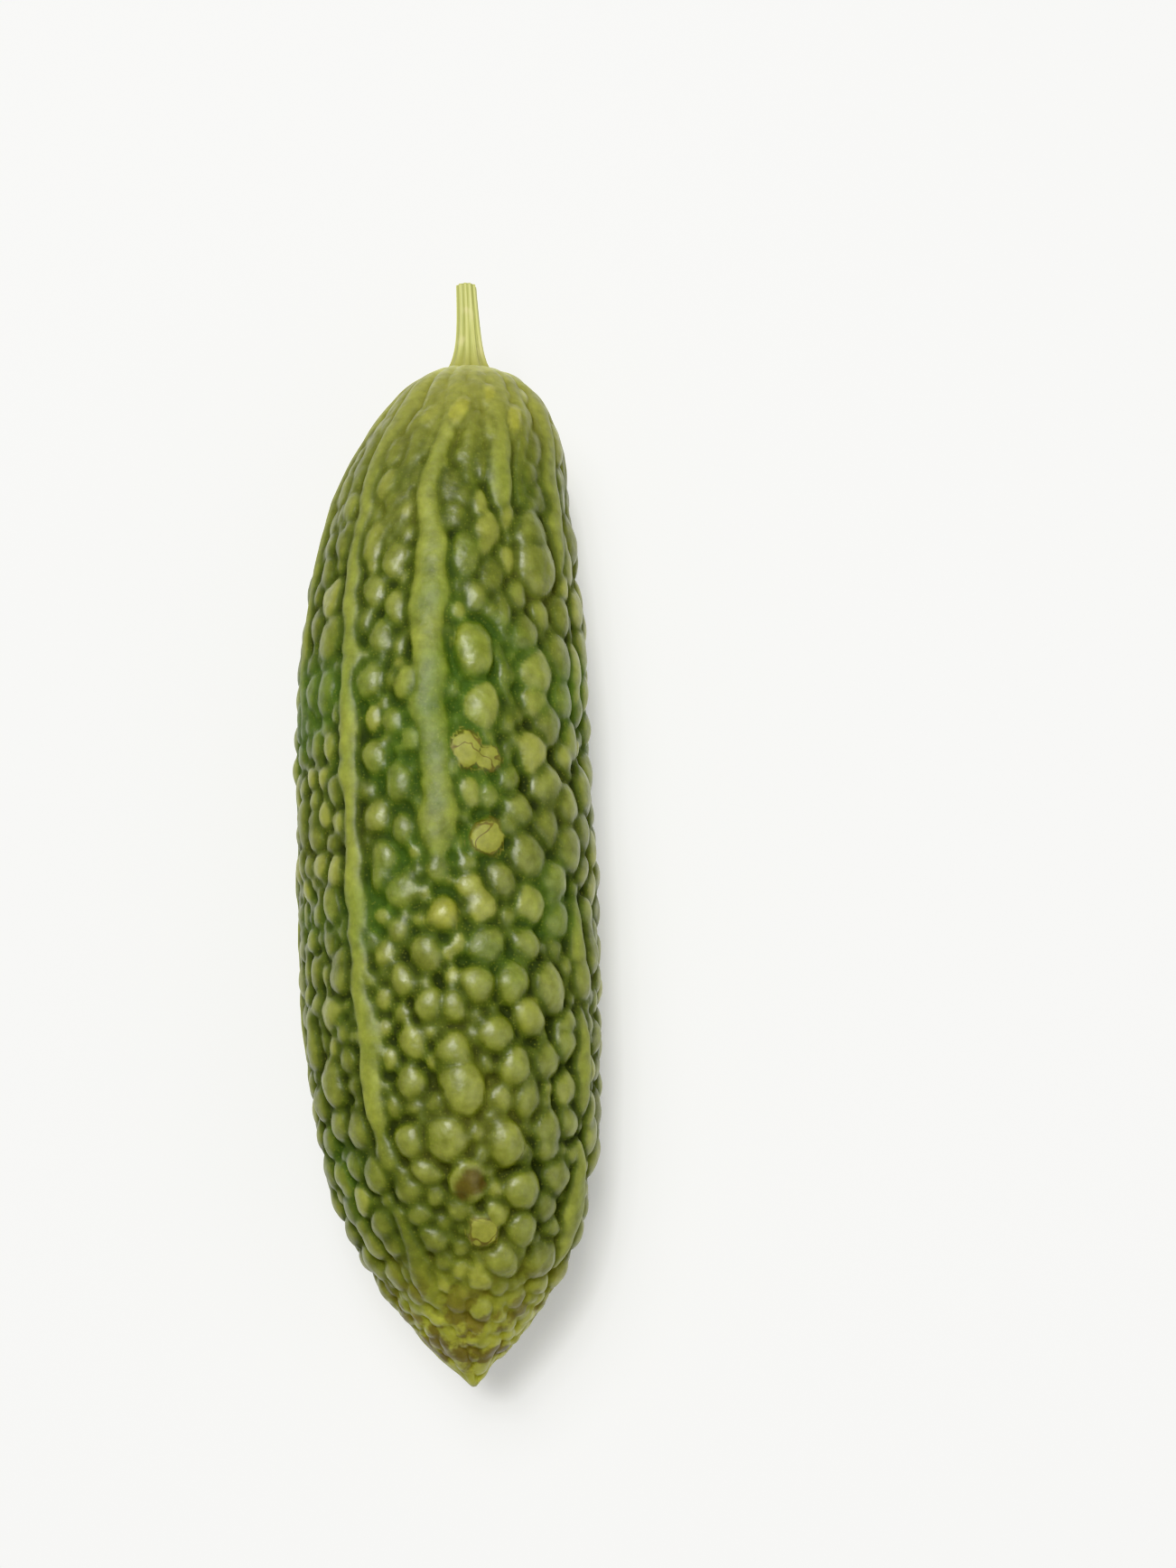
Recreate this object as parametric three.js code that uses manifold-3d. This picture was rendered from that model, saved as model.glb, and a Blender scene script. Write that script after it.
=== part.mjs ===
// A bitter gourd lying on its side: one warty fruit, and the piece of stem that it was cut with.
// Millimetres. +Z is up, +Y points to the stem, and +X is to the right when looking down with the stem away.
// The origin is on the surface that the gourd rests on, under the middle of its box.
import * as THREE from "three";
import { mergeVertices } from "three/addons/utils/BufferGeometryUtils.js";
import Module from "manifold-3d";

// The fruit's overall form.
const FRUIT_LENGTH = 228; // from the stem end to the blossom tip
const FRUIT_RADIUS = 33; // over the ridges, where the fruit is widest
const WIDEST_AT = 0.5; // share of the length, counted from the stem end
const SHOULDER_POWER = 2.5; // 2 is a round shoulder, and more is a squarer one
const TIP_POWER = 4; // 2 is a round taper, and more keeps the girth longer before the tip
const BOW = 6.6; // how far the fruit bends to the left
const BOW_SKEW = 0.7; // 1 bends it most half-way, and less bends it most nearer to the stem
const BOW_RUN_IN = 0.15; // share of the length over which it leaves the line of the stem
const REST_DEPTH = 1.6; // how much of the underside is pressed flat by the fruit's own weight

// What stands up from the skin.
const RIDGE_HEIGHT = 2.8;
const WART_HEIGHT = 2.2;
const BARE_SHOULDER = 6; // length at the stem end that has no ridge yet
const RIDGE_RUN_IN = 14; // length over which the ridges then reach their full height
const TIP_RUN_OUT = 24; // length before the blossom tip over which they sink away

// The stem.
const STEM_LENGTH = 21.4; // from the fruit to the cut end
const STEM_RADIUS = 2.4; // at the cut end
const STEM_FOOT_DEPTH = 1.2; // how far down the shoulder the flared foot reaches
const STEM_FLARE = 4.2; // length over which the foot narrows by two thirds
const STEM_LEAN = new THREE.Vector2(-0.5, 1.2); // how far the cut end stands to the left and up
const STEM_RIB_HEIGHT = 0.35;
const JOINT_GAP = 0.3; // between the stem's foot and the fruit

// How finely the surfaces are divided.
const FRUIT_RINGS = 66;
const SECTOR_STEPS = 6; // from one ridge to the next: a ridge, a furrow, three rows of warts and a furrow
const END_CROWDING = 0.4; // how much closer the rings stand at the two ends
const FOOT_RINGS = 3;
const STEM_RINGS = 8;

// Each ridge: its angle from the top, in degrees to the right, and the stretches of the length where it is unbroken.
// Elsewhere it is a row of warts.
const RIDGES = [
  { angle: -172, whole: [[0, 0.6]] },
  { angle: -137, whole: [[0, 0.45]] },
  { angle: -100, whole: [[0, 0.2], [0.3, 0.8]] },
  { angle: -64, whole: [[0, 0.42]] },
  { angle: -34, whole: [[0, 0.76]] },
  { angle: -4, whole: [[0, 0.52]] },
  { angle: 30, whole: [[0, 0.24]] },
  { angle: 68, whole: [[0, 0.3], [0.55, 0.88]] },
  { angle: 112, whole: [[0, 0.7]] },
  { angle: 150, whole: [[0, 0.5]] },
];

const SKIN_RADIUS = FRUIT_RADIUS - RIDGE_HEIGHT;
const AXIS_HEIGHT = FRUIT_RADIUS - REST_DEPTH;
const FULL_TURN = 360;

// The fruit's girth at a share of its length, as a share of its widest.
function girthShare(along) {
  if (along < WIDEST_AT) {
    const above = 1 - along / WIDEST_AT;
    return (1 - above ** SHOULDER_POWER) ** (1 / SHOULDER_POWER);
  }
  return 1 - ((along - WIDEST_AT) / (1 - WIDEST_AT)) ** TIP_POWER;
}

// Ridges and warts start below the shoulder and sink away at the tip.
function riseShare(along) {
  const fromStem = along * FRUIT_LENGTH;
  const toTip = FRUIT_LENGTH - fromStem;
  return (
    THREE.MathUtils.smoothstep(fromStem, BARE_SHOULDER, BARE_SHOULDER + RIDGE_RUN_IN) *
    THREE.MathUtils.smoothstep(toTip, 0, TIP_RUN_OUT)
  );
}

// How far the middle of the fruit is to the left of its two ends.
function bend(along) {
  return BOW * Math.sin(Math.PI * along ** BOW_SKEW) * THREE.MathUtils.smoothstep(along, 0, BOW_RUN_IN);
}

// A point that stands the given height off the skin. The stem end is at y = 0.
function fruitPoint(along, degrees, height) {
  const angle = THREE.MathUtils.degToRad(degrees);
  const radius = SKIN_RADIUS * girthShare(along) + height;
  return new THREE.Vector3(
    radius * Math.sin(angle) - bend(along),
    -FRUIT_LENGTH * along,
    AXIS_HEIGHT + radius * Math.cos(angle),
  );
}

// The angles round the fruit, each with its ridge and its step from that ridge towards the next.
function meridians() {
  return RIDGES.flatMap((ridge, i) => {
    const next = RIDGES[(i + 1) % RIDGES.length].angle + (i + 1 === RIDGES.length ? FULL_TURN : 0);
    return Array.from({ length: SECTOR_STEPS }, (_, step) => ({
      degrees: ridge.angle + ((next - ridge.angle) * step) / SECTOR_STEPS,
      ridge,
      step,
    }));
  });
}

// Warts stand on every second ring, with neighbouring rows half a pitch apart, so they pack like cobbles.
function skinHeight(along, ring, { ridge, step }) {
  const share = riseShare(along);
  const onWart = (ring + step) % 2 === 0 ? 1 : 0;
  if (step === 0) {
    const whole = ridge.whole.some(([from, to]) => along >= from && along <= to);
    return share * RIDGE_HEIGHT * (whole ? 1 : onWart);
  }
  const inFurrow = step === 1 || step === SECTOR_STEPS - 1;
  return inFurrow ? 0 : share * WART_HEIGHT * onWart;
}

// A closed surface from a first pole, through equal rings of points, to a last pole. The quads' diagonals
// alternate, so that two warts whose corners touch aren't joined by an edge.
function closedSurface(firstPole, rings, lastPole) {
  const around = rings[0].length;
  const points = [firstPole, ...rings.flat(), lastPole];
  const last = points.length - 1;
  const at = (ring, i) => 1 + ring * around + (i % around);
  const faces = [];
  for (let i = 0; i < around; i++) {
    faces.push(0, at(0, i), at(0, i + 1));
    faces.push(last, at(rings.length - 1, i + 1), at(rings.length - 1, i));
    for (let ring = 0; ring + 1 < rings.length; ring++) {
      const [a, b, c, d] = [at(ring, i), at(ring + 1, i), at(ring + 1, i + 1), at(ring, i + 1)];
      faces.push(...((ring + i) % 2 === 0 ? [a, b, d, b, c, d] : [a, b, c, a, c, d]));
    }
  }
  return new THREE.BufferGeometry().setFromPoints(points).setIndex(faces);
}

// The rings' places along the fruit, closer together at the two ends.
function ringPlaces() {
  return Array.from({ length: FRUIT_RINGS }, (_, i) => {
    const even = (i + 1) / (FRUIT_RINGS + 1);
    const crowded = (1 - Math.cos(Math.PI * even)) / 2;
    return THREE.MathUtils.lerp(even, crowded, END_CROWDING);
  });
}

function fruitSurface() {
  const lines = meridians();
  const rings = ringPlaces().map((along, ring) =>
    lines.map((line) => fruitPoint(along, line.degrees, skinHeight(along, ring, line))),
  );
  return closedSurface(fruitPoint(0, 0, 0), rings, fruitPoint(1, 0, 0));
}

// The stem flares out to its foot, and its ribs run into the fruit's ridges.
function stemSurface() {
  const footEdge = STEM_FOOT_DEPTH / FRUIT_LENGTH;
  const footRadius = SKIN_RADIUS * girthShare(footEdge);
  const lift = new THREE.Vector3(0, JOINT_GAP, 0);
  const lines = meridians();
  const underside = Array.from({ length: FOOT_RINGS }, (_, i) => {
    const along = footEdge * ((i + 1) / FOOT_RINGS) ** SHOULDER_POWER;
    return lines.map(({ degrees }) => fruitPoint(along, degrees, 0).add(lift));
  });
  const bottom = fruitPoint(footEdge, 0, 0).y + JOINT_GAP;
  const centre = (share) =>
    new THREE.Vector3(
      STEM_LEAN.x * share ** 2 - bend(footEdge) * (1 - share),
      THREE.MathUtils.lerp(bottom, STEM_LENGTH, share),
      AXIS_HEIGHT + STEM_LEAN.y * share ** 2,
    );
  const outside = Array.from({ length: STEM_RINGS }, (_, i) => {
    const share = ((i + 1) / STEM_RINGS) ** 1.5;
    const middle = centre(share);
    const flare = Math.exp(-(middle.y - bottom) / STEM_FLARE);
    const radius = STEM_RADIUS + (footRadius - STEM_RADIUS) * flare;
    return lines.map(({ degrees, step }) => {
      const angle = THREE.MathUtils.degToRad(degrees);
      const rib = radius + (step === 0 ? STEM_RIB_HEIGHT : 0) * (1 - flare);
      return middle.clone().add(new THREE.Vector3(rib * Math.sin(angle), 0, rib * Math.cos(angle)));
    });
  });
  const rings = [...underside, ...outside].reverse();
  return closedSurface(centre(1), rings, fruitPoint(0, 0, 0).add(lift));
}

const wasm = await Module();
wasm.setup();

function solidFrom(geometry) {
  const bare = geometry.clone();
  bare.deleteAttribute("normal");
  bare.deleteAttribute("uv");
  const merged = mergeVertices(bare);
  return new wasm.Manifold(
    new wasm.Mesh({
      numProp: 3,
      vertProperties: new Float32Array(merged.attributes.position.array),
      triVerts: new Uint32Array(merged.index.array),
    }),
  );
}

function geometryFrom(solid) {
  const mesh = solid.getMesh();
  const geometry = new THREE.BufferGeometry()
    .setAttribute("position", new THREE.BufferAttribute(mesh.vertProperties, mesh.numProp))
    .setIndex(new THREE.BufferAttribute(mesh.triVerts, 1));
  geometry.computeVertexNormals();
  return geometry;
}

// The surface that the gourd rests on presses its lowest warts flat.
function pressedFlat(geometry) {
  const depth = FRUIT_RADIUS;
  const surface = new THREE.BoxGeometry(FRUIT_LENGTH, 3 * FRUIT_LENGTH, depth).translate(0, 0, -depth / 2);
  return geometryFrom(solidFrom(geometry).subtract(solidFrom(surface)));
}

const skin = new THREE.MeshStandardMaterial({ color: 0x55702a, roughness: 0.38, metalness: 0 });
const stalk = new THREE.MeshStandardMaterial({ color: 0x8f9440, roughness: 0.6, metalness: 0 });

const fruit = new THREE.Mesh(pressedFlat(fruitSurface()), skin);
fruit.name = "fruit";
const stem = new THREE.Mesh(stemSurface(), stalk);
stem.name = "stem";

const gourd = new THREE.Group();
gourd.add(fruit, stem);
const box = new THREE.Box3().setFromObject(gourd);
const middle = box.getCenter(new THREE.Vector3());
gourd.position.set(-middle.x, -middle.y, 0);

export default gourd;
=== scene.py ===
"""A bitter gourd lying on its side: one warty fruit and its cut stem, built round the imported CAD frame."""

import math

import bpy
import bmesh
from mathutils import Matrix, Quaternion, Vector, noise


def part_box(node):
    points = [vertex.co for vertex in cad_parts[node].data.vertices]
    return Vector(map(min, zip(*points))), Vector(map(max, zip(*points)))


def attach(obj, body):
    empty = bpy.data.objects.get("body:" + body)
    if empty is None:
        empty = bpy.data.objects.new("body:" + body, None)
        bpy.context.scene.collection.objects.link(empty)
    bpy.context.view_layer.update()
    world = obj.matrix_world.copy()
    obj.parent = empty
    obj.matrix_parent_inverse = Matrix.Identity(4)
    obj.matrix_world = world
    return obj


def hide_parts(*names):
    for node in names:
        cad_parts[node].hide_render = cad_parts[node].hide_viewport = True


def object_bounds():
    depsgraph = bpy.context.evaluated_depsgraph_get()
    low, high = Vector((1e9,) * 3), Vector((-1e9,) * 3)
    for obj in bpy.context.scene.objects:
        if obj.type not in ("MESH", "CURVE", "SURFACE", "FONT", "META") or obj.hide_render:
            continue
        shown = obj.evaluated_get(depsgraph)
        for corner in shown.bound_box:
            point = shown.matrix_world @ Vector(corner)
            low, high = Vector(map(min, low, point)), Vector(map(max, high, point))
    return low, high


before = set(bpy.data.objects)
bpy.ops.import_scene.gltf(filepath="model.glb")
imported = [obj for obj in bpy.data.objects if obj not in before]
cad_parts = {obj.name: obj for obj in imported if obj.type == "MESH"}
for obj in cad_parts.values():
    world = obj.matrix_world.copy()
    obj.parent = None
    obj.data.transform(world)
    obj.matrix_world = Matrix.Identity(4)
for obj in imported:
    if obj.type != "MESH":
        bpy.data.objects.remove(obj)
CAD_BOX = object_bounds()

bl_info = {
    "name": "Bitter Gourd",
    "version": (1, 0, 0),
    "blender": (4, 5, 0),
    "location": "3D View > Sidebar > Gourd",
    "description": "Grows a ridged, warty bitter gourd and its stem, and lights them in a small studio",
    "category": "Add Mesh",
}

MM = 0.001

# The kinds of node that are used most, and settings that several nodes share.
MATH = "ShaderNodeMath"
VECTOR_MATH = "ShaderNodeVectorMath"
MIX = "ShaderNodeMix"
RANGE = "ShaderNodeMapRange"
NOISE = "ShaderNodeTexNoise"
RANDOM = "FunctionNodeRandomValue"
POSITION = "GeometryNodeInputPosition"
NORMAL = "GeometryNodeInputNormal"
READ = "GeometryNodeInputNamedAttribute"
STORE = "GeometryNodeStoreNamedAttribute"
BLUR = "GeometryNodeBlurAttribute"
MOVE = "GeometryNodeSetPosition"
JOIN = "GeometryNodeJoinGeometry"
SMOOTH = {"interpolation_type": "SMOOTHSTEP"}
VECTOR = {"data_type": "FLOAT_VECTOR"}
COLOUR = {"data_type": "RGBA"}


def end_of_node(name, highest):
    """The middle of a CAD node's end along the gourd: the stem's side if highest, else the blossom's."""
    points = [v.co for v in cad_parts[name].data.vertices]
    end = (max if highest else min)(p.y for p in points)
    tip = {tuple(round(c, 6) for c in p) for p in points if abs(p.y - end) < 0.01 * MM}
    return sum((Vector(p) for p in tip), Vector()) / len(tip)


STEM_END = end_of_node("fruit", highest=True)
BLOSSOM_END = end_of_node("fruit", highest=False)
CUT_END = end_of_node("stem", highest=True)
FRUIT_LENGTH = STEM_END.y - BLOSSOM_END.y
FRUIT_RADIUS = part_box("fruit")[1].z - STEM_END.z

# Each ridge: at the stem, the middle and the blossom tip, its angle from the top in degrees to the right and
# half its width in mm; the stretches where it is unbroken, as shares of the length; and how gappy it is
# elsewhere.
RIDGES = [
    {"angles": (-172, -170, -168), "widths": (2.6, 3.1, 3.0), "whole": [(0.0, 0.5)], "gaps": 0.5},
    {
        "angles": (-138, -140, -134),
        "widths": (2.3, 2.9, 2.8),
        "whole": [(0.0, 0.34), (0.5, 0.66)],
        "gaps": 0.52,
    },
    {"angles": (-104, -100, -96), "widths": (2.6, 3.2, 3.0), "whole": [(0.0, 0.2), (0.3, 0.7)], "gaps": 0.48},
    {"angles": (-72, -66, -60), "widths": (2.4, 2.7, 2.7), "whole": [(0.0, 0.36)], "gaps": 0.53},
    {"angles": (-38, -33, -22), "widths": (2.4, 2.8, 3.2), "whole": [(0.0, 0.77)], "gaps": 0.5},
    {"angles": (-5, 1, 7), "widths": (1.7, 4.6, 3.4), "whole": [(0.0, 0.51)], "gaps": 0.66},
    {"angles": (24, 30, 31), "widths": (2.3, 2.8, 2.8), "whole": [(0.0, 0.16)], "gaps": 0.58},
    {
        "angles": (60, 60, 68),
        "widths": (2.6, 3.6, 3.6),
        "whole": [(0.0, 0.22), (0.56, 0.615), (0.665, 0.735), (0.79, 0.875)],
        "gaps": 0.66,
    },
    {"angles": (108, 112, 112), "widths": (2.6, 3.0, 2.8), "whole": [(0.0, 0.3), (0.4, 0.66)], "gaps": 0.5},
    {"angles": (146, 150, 152), "widths": (2.4, 3.0, 3.0), "whole": [(0.0, 0.42), (0.55, 0.8)], "gaps": 0.5},
]
# A finer rib runs between each two ridges, over the shoulder only.
RIB = {"widths": (1.5, 3.0, 3.0), "whole": [(0.0, 0.02)], "gaps": 0.46, "end": 0.2}
RIDGE_STEPS = 60
WHOLE_FADE = 0.025  # share of the length over which an unbroken stretch ends

# Kinds of single wart. A scarred one is worn flat, and a rubbed or ripe one only has another colour.
SOUND, SCARRED, PITTED, RIPE, RUBBED = range(5)
KIND_NAMES = {SCARRED: "scarred", PITTED: "pitted", RIPE: "ripe", RUBBED: "rubbed"}

# The single warts that stand out: angle, share of the length, half width in mm, and kind.
LANDMARKS = [
    (15, 0.314, 4.5, RUBBED),
    (16, 0.326, 4.4, RUBBED),
    (13, 0.416, 4.2, SCARRED),
    (20, 0.423, 3.2, SCARRED),
    (20, 0.497, 4.0, SCARRED),
    (2, 0.571, 3.6, RIPE),
    (33, 0.661, 4.2, RUBBED),
    (12, 0.852, 3.7, SCARRED),
    (19, 0.838, 2.9, RUBBED),
    (7, 0.808, 4.4, PITTED),
    (14, 0.634, 4.1, SOUND),
    (27, 0.632, 4.7, SOUND),
    (-4, 0.651, 3.5, SOUND),
    (5, 0.653, 3.5, SOUND),
    (4, 0.693, 3.8, SOUND),
    (5, 0.701, 3.8, SOUND),
    (33, 0.597, 3.7, SOUND),
    (20, 0.679, 4.0, SOUND),
    (27, 0.709, 4.4, SOUND),
    (23, 0.774, 4.6, SOUND),
    (31, 0.819, 4.4, SOUND),
    (32, 0.855, 4.0, SOUND),
    (24, 0.880, 4.2, SOUND),
    (-16, 0.774, 3.6, SOUND),
    (-34, 0.802, 3.8, SOUND),
    (0, 0.072, 3.0, RIPE),
    (19, 0.051, 2.4, RIPE),
    (33, 0.079, 2.8, RIPE),
]

# Each generation of random warts: the spacing and the least and most half width in mm, the share of the
# length where it starts and ends, how much of the skin it leaves out in patches, and the share with a twin.
GENERATIONS = [
    {"spacing": 6.4, "least": 3.8, "most": 4.8, "start": 0.22, "end": 0.91, "patchy": 0.44, "twins": 0.4},
    {"spacing": 5.5, "least": 3.2, "most": 4.2, "start": 0.14, "end": 0.93, "patchy": 0.36, "twins": 0.4},
    {"spacing": 4.6, "least": 2.7, "most": 3.6, "start": 0.1, "end": 0.945, "patchy": 0.3, "twins": 0.35},
    {"spacing": 3.9, "least": 2.3, "most": 3.0, "start": 0.07, "end": 0.96, "patchy": 0.0, "twins": 0.3},
    {"spacing": 3.2, "least": 1.9, "most": 2.5, "start": 0.05, "end": 0.97, "patchy": 0.0, "twins": 0.2},
    {"spacing": 2.7, "least": 1.5, "most": 2.0, "start": 0.04, "end": 0.98, "patchy": 0.0, "twins": 0.0},
]


def linear(hex_colour):
    """An sRGB hex colour as linear RGBA."""
    channels = [int(hex_colour[i : i + 2], 16) / 255 for i in (1, 3, 5)]
    return [c / 12.92 if c <= 0.04045 else ((c + 0.055) / 1.055) ** 2.4 for c in channels] + [1.0]


def add(tree, kind, *values, named=None, output=None, **settings):
    """Adds a node with its settings. Of the inputs that these leave in use, the first are filled or linked in
    order, where None leaves one alone, and others by name. Returns the first output in use, or the one asked
    for."""
    node = tree.nodes.new(kind)
    for setting, value in settings.items():
        setattr(node, setting, value)
    inputs = [socket for socket in node.inputs if socket.enabled]
    wanted = [*zip(inputs, values), *((node.inputs[name], value) for name, value in (named or {}).items())]
    for socket, value in wanted:
        for source in value if isinstance(value, list) else [value]:
            if isinstance(source, bpy.types.NodeSocket):
                tree.links.new(source, socket)
            elif source is not None:
                socket.default_value = source
    return next((socket for socket in node.outputs if socket.enabled and output in (None, socket.name)), None)


def colour_property(name, description, hex_colour):
    return bpy.props.FloatVectorProperty(
        name=name,
        description=description,
        default=linear(hex_colour),
        size=4,
        subtype="COLOR",
        min=0.0,
        max=1.0,
    )


def length_property(name, description, default):
    return bpy.props.FloatProperty(
        name=name,
        description=description,
        default=default,
        min=0.0,
        subtype="DISTANCE",
        unit="LENGTH",
        precision=5,
    )


class GourdSizes(bpy.types.PropertyGroup):
    """The fruit's and the stem's sizes."""

    fruit_length: length_property("Fruit Length", "From the stem end to the blossom tip", FRUIT_LENGTH)
    skin_radius: length_property(
        "Skin Radius", "Radius under the warts, where the fruit is widest", FRUIT_RADIUS - 1.6 * MM
    )
    bow: length_property("Bow", "How far the fruit bends to the left", 6.6 * MM)
    lobe_height: length_property("Lobe Height", "How far the skin swells under each ridge", 1.0 * MM)
    largest_reach: length_property("Largest Reach", "Half width that no wart or ridge exceeds", 6 * MM)
    crowding: length_property("Crowding", "How far a wart's skirt reaches under its neighbours", 2.9 * MM)
    waver: length_property("Waver", "How far the warts' outlines stray from round", 1.6 * MM)
    shoulder_power: bpy.props.FloatProperty(
        name="Shoulder Power",
        description="2 is a round shoulder, and more is a squarer one",
        default=2.7,
        min=1.0,
    )
    tip_power: bpy.props.FloatProperty(
        name="Tip Power",
        description="2 is a round taper, and more keeps the girth longer",
        default=4.0,
        min=1.0,
    )
    bow_skew: bpy.props.FloatProperty(
        name="Bow Skew",
        description="1 bends it most half-way, and less bends it most nearer to the stem",
        default=0.7,
    )
    steepness: bpy.props.FloatProperty(
        name="Steepness", description="Factor on the height of every wart", default=1.4, min=0.0
    )
    crest_power: bpy.props.FloatProperty(
        name="Crest Power",
        description="0.5 makes round warts, and less makes flat-topped ones",
        default=0.42,
        min=0.1,
    )
    seed: bpy.props.IntProperty(name="Seed", description="Which random scatter of warts is grown", default=7)
    stem_radius: length_property("Stem Radius", "Radius of the stem at its cut", 2.3 * MM)
    stem_foot_radius: length_property(
        "Stem Foot Radius", "Radius of the flared foot where it dips in", 8.5 * MM
    )
    stem_flare: length_property("Stem Flare", "Length over which the foot narrows by two thirds", 4.2 * MM)


class GourdColours(bpy.types.PropertyGroup):
    """The skin's and the stalk's colours."""

    # Crease is partly the rind's own darker green and partly painted shade for the creases between the warts.
    crease: colour_property("Crease", "Dark green between the warts", "#1f2708")
    flank: colour_property("Flank", "Green of the warts' sides", "#414b17")
    fresh: colour_property("Fresh", "Deeper green of the patches that ripen last", "#3f5a20")
    crown: colour_property("Crown", "Pale green of the warts' tops", "#727739")
    ridge: colour_property("Ridge", "Green of the smooth ridges", "#888e38")
    yellowing: colour_property("Yellowing", "Yellow green at the shoulder and the tip", "#85843f")
    tip: colour_property("Tip", "Lime yellow of the blossom end", "#93933c")
    scar: colour_property("Scar", "Pale rubbed skin", "#86883a")
    bruise: colour_property("Bruise", "Brown of pits and stains", "#4e3f1c")
    ripe_spot: colour_property("Ripe Spot", "Yellow of ripening warts", "#918f3a")
    stalk: colour_property("Stalk", "Olive green of the stem", "#a4a563")
    stalk_groove: colour_property("Stalk Groove", "Green in the stem's grooves", "#8d904e")
    stalk_cut: colour_property("Stalk Cut", "Dry pale end of the stem", "#b9b084")


# ---------------------------------------------------------------- the chart
#
# The skin is worked out on a chart, a straight fruit that is shortened lengthwise, most of all near the stem.
# A wart that is round on the chart is a long one on the fruit.

CHART_STRETCH = 0.86  # how long a stretch of the fruit is on the chart, away from the stem
SHOULDER_STRETCH = 0.6  # how much more it is shortened at the stem end
SHOULDER_FADE = 0.2  # share of the length over which that extra shortening falls by two thirds
POLE_SHARE = 0.0012  # how far the first ring stands from the pole, as a share of the length
BOW_RUN_IN = 0.15  # share of the length over which the fruit leaves the line of the stem

# The skin tree's inputs and the properties that they take their values from.
SKIN_INPUTS = [
    ("Fruit Length", "NodeSocketFloat", "fruit_length"),
    ("Skin Radius", "NodeSocketFloat", "skin_radius"),
    ("Bow", "NodeSocketFloat", "bow"),
    ("Lobe Height", "NodeSocketFloat", "lobe_height"),
    ("Largest Reach", "NodeSocketFloat", "largest_reach"),
    ("Crowding", "NodeSocketFloat", "crowding"),
    ("Waver", "NodeSocketFloat", "waver"),
    ("Shoulder Power", "NodeSocketFloat", "shoulder_power"),
    ("Tip Power", "NodeSocketFloat", "tip_power"),
    ("Bow Skew", "NodeSocketFloat", "bow_skew"),
    ("Steepness", "NodeSocketFloat", "steepness"),
    ("Crest Power", "NodeSocketFloat", "crest_power"),
    ("Seed", "NodeSocketInt", "seed"),
]
# How finely the skin is divided.
FINENESS = {"Points Around": 288, "Rings": 344, "End Crowding": 0.4}


def girth(tree, size, along):
    """The bare skin's radius at a share of the length, widest half-way."""
    signed = add(tree, MATH, along, 2.0, -1.0, operation="MULTIPLY_ADD")
    from_widest = add(tree, MATH, signed, operation="ABSOLUTE")
    shoulder = add(tree, MATH, from_widest, size["Shoulder Power"], operation="POWER")
    shoulder = add(tree, MATH, 1.0, shoulder, operation="SUBTRACT", use_clamp=True)
    root = add(tree, MATH, 1.0, size["Shoulder Power"], operation="DIVIDE")
    shoulder = add(tree, MATH, shoulder, root, operation="POWER")
    tip = add(tree, MATH, from_widest, size["Tip Power"], operation="POWER")
    tip = add(tree, MATH, 1.0, tip, operation="SUBTRACT", use_clamp=True)
    past_widest = add(tree, MATH, signed, 0.0, operation="GREATER_THAN")
    share = add(tree, MIX, past_widest, shoulder, tip)
    return add(tree, MATH, share, size["Skin Radius"], operation="MULTIPLY")


def ring_point(tree, angle, radius, y):
    """A point on a ring round the Y axis, at an angle from the top."""
    sine = add(tree, MATH, angle, operation="SINE")
    cosine = add(tree, MATH, angle, operation="COSINE")
    x = add(tree, MATH, sine, radius, operation="MULTIPLY")
    z = add(tree, MATH, cosine, radius, operation="MULTIPLY")
    return add(tree, "ShaderNodeCombineXYZ", x, y, z)


def chart_point(tree, size, angle, along, radius):
    """Where a skin point lies on the chart."""
    fade = add(tree, MATH, along, -1 / SHOULDER_FADE, operation="MULTIPLY")
    fade = add(tree, MATH, fade, operation="EXPONENT")
    lost = add(tree, MATH, 1.0, fade, operation="SUBTRACT")
    lost = add(tree, MATH, lost, SHOULDER_STRETCH * SHOULDER_FADE, operation="MULTIPLY")
    share = add(tree, MATH, along, CHART_STRETCH, operation="MULTIPLY")
    share = add(tree, MATH, share, lost, operation="SUBTRACT")
    length = add(tree, MATH, size["Fruit Length"], -1.0, operation="MULTIPLY")
    y = add(tree, MATH, share, length, operation="MULTIPLY")
    return ring_point(tree, angle, radius, y)


def chart_surface(tree, size):
    """The chart as a closed mesh, whose points know their angle and their share of the length."""
    counts = (size["Points Around"], size["Rings"], 1)
    mesh = add(tree, "GeometryNodeMeshCylinder", *counts, 1.0, 1.0, fill_type="TRIANGLE_FAN")
    x, y, z = add(tree, "ShaderNodeSeparateXYZ", add(tree, POSITION)).node.outputs
    angle = add(tree, MATH, x, y, operation="ARCTAN2")
    squared = add(tree, MATH, x, x, operation="MULTIPLY")
    rim = add(tree, MATH, y, y, squared, operation="MULTIPLY_ADD")
    even = add(tree, MATH, z, 0.5, operation="ADD")
    turn = add(tree, MATH, even, math.pi, operation="MULTIPLY")
    turn = add(tree, MATH, turn, operation="COSINE")
    crowded = add(tree, MATH, turn, -0.5, 0.5, operation="MULTIPLY_ADD")
    along = add(tree, MIX, size["End Crowding"], even, crowded)
    along = add(tree, MATH, along, 1 - 2 * POLE_SHARE, POLE_SHARE, operation="MULTIPLY_ADD")
    for name, value in (("angle", angle), ("along", along), ("rim", rim)):
        mesh = add(tree, STORE, mesh, None, name, value)
    angle, along, rim = (add(tree, READ, name) for name in ("angle", "along", "rim"))
    radius = add(tree, MATH, girth(tree, size, along), rim, operation="MULTIPLY")
    mesh = add(tree, STORE, mesh, None, "girth", radius)
    place = chart_point(tree, size, angle, along, add(tree, READ, "girth"))
    return add(tree, MOVE, mesh, None, place)


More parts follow.
